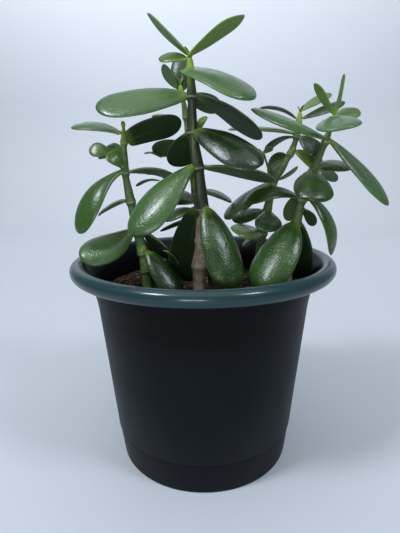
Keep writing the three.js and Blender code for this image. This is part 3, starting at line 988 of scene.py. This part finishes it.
soilParams = {
    "rings": 60, "sides": 120, "gap": 0.0004,
    # the buried outline as (radius, height), then the radius at the pot wall
    "buried": [(0.0638, 0.0060), (0.0685, 0.0256)], "topRadius": 0.0795, "grainRadius": 0.0765,
    "mound": ((0, 0.035, 0.060, 0.079), (0.1290, 0.1285, 0.1270, 0.1255)),
    # the soil banks up against the wall, more at the left and rear
    "bank": 0.010, "bankStart": 0.6, "bankEven": 1.2, "bankLean": 8.0,
    "lump": 0.0028, "lumpScale": 75.0, "fineLump": 0.0012, "fineScale": 260.0,
}


def soilHeight(radius, x, y):
    look = soilParams
    height = np.interp(radius, *look["mound"])
    outward = max(0.0, radius / look["topRadius"] - look["bankStart"])
    height += look["bank"] * outward * (look["bankEven"] + (y - x) * look["bankLean"])
    height += look["lump"] * noise.noise(Vector((x, y, 0.3)) * look["lumpScale"])
    return height + look["fineLump"] * noise.noise(Vector((x, y, 0.9)) * look["fineScale"])


def makeSoil():
    look = soilParams
    wall = look["topRadius"] - look["gap"]
    points = []
    for radius, height in look["buried"]:
        points += circlePoints(radius, height, look["sides"])
    for ring in range(look["rings"]):
        radius = wall * (1 - ring / look["rings"])
        for x, y, _ in circlePoints(radius, 0, look["sides"]):
            points.append((x, y, soilHeight(radius, x, y)))
    points += [(0, 0, look["buried"][0][1]), (0, 0, soilHeight(0, 0, 0))]
    rings = len(look["buried"]) + look["rings"]
    made = linkMesh("soilBody", points, loftFaces(rings, look["sides"]), soilMaterial)
    tidyNormals(made)
    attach(made, "root")
    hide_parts("soil")
    return made


# each kind as (material, density, smallest and largest size, stretch, seed)
grainKinds = {
    "soilCrumbs": (crumbMaterial, 160000.0, (0.0010, 0.0026), (1.0, 1.0, 0.8), 3),
    "barkChips": (chipMaterial, 24000.0, (0.0024, 0.0052), (1.5, 0.8, 0.45), 8),
    "paleGrit": (gritMaterial, 14000.0, (0.0010, 0.0022), (1.0, 1.0, 0.8), 21),
    "soilFibres": (chipMaterial, 16000.0, (0.0040, 0.0085), (1.5, 0.09, 0.09), 34),
}
grainShape = {
    "dents": 3.0, "dentDepth": 0.7, "leastTurn": (-0.5, -0.5, 0.0), "mostTurn": (0.5, 0.5, 6.28),
}


def grainTree():
    look = grainShape
    tree, graph, given = startTree("scatteredGrains", {
        "Surface": "Geometry", "Density": "Float", "Smallest": "Float", "Largest": "Float",
        "Stretch": "Vector", "Seed": "Int", "Material": "Material"})
    seed = given.output("Seed")
    spots = graph.node("GeometryNodeDistributePointsOnFaces", {"distribute_method": "RANDOM"},
                       {"Mesh": given, "Density": given.output("Density"), "Seed": seed})
    grain = graph.node("GeometryNodeMeshIcoSphere", {}, {"Radius": 0.5, "Subdivisions": 1})
    dent = graph.noise(graph.node("GeometryNodeInputPosition"), look["dents"], 2.0) - 0.5
    grain = graph.push(grain, dent * look["dentDepth"])
    size = graph.node("FunctionNodeRandomValue", {"data_type": "FLOAT"},
                      {"Min_001": given.output("Smallest"), "Max_001": given.output("Largest"),
                       "Seed": seed}, "Value_001")
    turn = graph.node("FunctionNodeRandomValue", {"data_type": "FLOAT_VECTOR"},
                      {"Min": look["leastTurn"], "Max": look["mostTurn"], "Seed": seed + 1}, "Value")
    scale = graph.node("ShaderNodeVectorMath", {"operation": "SCALE"},
                       {0: given.output("Stretch"), "Scale": size})
    spin = graph.node("FunctionNodeEulerToRotation", {}, {"Euler": turn})
    grains = graph.node("GeometryNodeInstanceOnPoints", {},
                        {"Points": spots, "Instance": grain, "Rotation": spin, "Scale": scale})
    graph.finish(grains, given.output("Material"))
    return tree


# the part of the soil's top that grains lie on, clear of the pot wall
def groundOf(soil):
    shape = bmesh.new()
    shape.from_mesh(soil.data)
    reach = soilParams["grainRadius"]
    outside = [face for face in shape.faces
               if face.normal.z < 0.1 or face.calc_center_median().xy.length > reach]
    bmesh.ops.delete(shape, geom=outside, context="FACES")
    mesh = bpy.data.meshes.new("ground")
    shape.to_mesh(mesh)
    shape.free()
    return mesh


def makeGrains(soil):
    tree = grainTree()
    ground = groundOf(soil)
    for name, (material, density, (smallest, largest), stretch, seed) in grainKinds.items():
        made = linkObject(name, ground.copy())
        applyTree(made, tree, {
            "Density": density, "Smallest": smallest, "Largest": largest, "Stretch": stretch,
            "Seed": seed, "Material": material}, material)
        made.data.shade_smooth()
        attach(made, "root")


makeGrains(makeSoil())
print("soil made")


# Camera, floor and light

viewParams = {
    "place": (0.024, -0.316, 0.226), "pitch": 13.5, "yaw": -4.72, "roll": -0.71, "lens": 28.03,
    "sensor": 36.0, "clipStart": 0.01,
}
floorParams = {"size": 6.0, "wallDistance": 1.6, "wallHeight": 3.0, "bend": 0.5, "bendSteps": 12}


def makeCamera():
    look = viewParams
    pitch, yaw, roll = (math.radians(look[key]) for key in ("pitch", "yaw", "roll"))
    ahead = Vector((math.sin(yaw), math.cos(yaw), 0)) * math.cos(pitch)
    forward = ahead - Vector((0, 0, math.sin(pitch)))
    right = Vector((math.cos(yaw), -math.sin(yaw), 0))
    up = right.cross(forward)
    sideways = right * math.cos(roll) + up * math.sin(roll)
    upward = up * math.cos(roll) - right * math.sin(roll)
    data = bpy.data.cameras.new("mainView")
    data.lens = look["lens"]
    data.sensor_width = look["sensor"]
    data.clip_start = look["clipStart"]
    camera = linkObject("mainView", data)
    turn = Matrix((sideways, upward, -forward)).transposed().to_4x4()
    camera.matrix_world = Matrix.Translation(look["place"]) @ turn
    bpy.context.scene.camera = camera


def makeFloor():
    look = floorParams
    half = look["size"] / 2
    bend = look["bend"]
    profile = [(-half, 0)]
    for angle in np.linspace(0, math.pi / 2, look["bendSteps"] + 1):
        profile.append((look["wallDistance"] - bend * (1 - math.sin(angle)), bend * (1 - math.cos(angle))))
    profile.append((look["wallDistance"], look["wallHeight"]))
    points, faces = [], []
    for y, z in profile:
        points += [(-half, y, z), (half, y, z)]
    for row in range(len(profile) - 1):
        faces.append((row * 2, row * 2 + 1, row * 2 + 3, row * 2 + 2))
    linkMesh("paleFloor", points, faces, makeFloorMaterial())


worldLight = {"colour": (0.80, 0.87, 1.0, 1), "strength": 0.22}
# each light as (place, aim, size, watts, colour)
lights = {
    "windowLeft": ((-0.62, -0.55, 1.22), (0, 0, 0.2), (0.26, 0.26), 11.0, (0.84, 0.92, 1.0)),
    "windowRight": ((0.72, -0.50, 1.15), (0, 0, 0.2), (0.26, 0.26), 6.0, (0.84, 0.92, 1.0)),
    "windowFront": ((-0.22, -1.6, 0.32), (0, 0, 0.2), (0.22, 0.34), 4.0, (0.9, 0.95, 1.0)),
    "windowBeside": ((0.05, -1.6, 0.32), (0, 0, 0.2), (0.18, 0.34), 3.0, (0.9, 0.95, 1.0)),
    "softTop": ((-0.1, -0.2, 1.8), (0, 0, 0.1), (2.0, 2.0), 12.0, (1.0, 0.99, 0.96)),
    "wallWash": ((-0.3, 0.7, 1.6), (-0.2, 1.6, 1.2), (2.4, 0.4), 26.0, (0.95, 0.975, 1.0)),
}


def makeLights():
    for name, (place, aim, size, watts, colour) in lights.items():
        data = bpy.data.lights.new(name, "AREA")
        data.shape = "RECTANGLE"
        data.size, data.size_y = size
        data.energy = watts
        data.color = colour
        light = linkObject(name, data)
        light.location = place
        ahead = Vector(aim) - Vector(place)
        light.rotation_euler = ahead.to_track_quat("-Z", "Y").to_euler()
    world = bpy.data.worlds.new("softStudio")
    world.use_nodes = True
    sky = world.node_tree.nodes["Background"]
    sky.inputs["Color"].default_value = worldLight["colour"]
    sky.inputs["Strength"].default_value = worldLight["strength"]
    bpy.context.scene.world = world
    bpy.context.scene.view_settings.view_transform = "Standard"


makeCamera()
makeFloor()
makeLights()
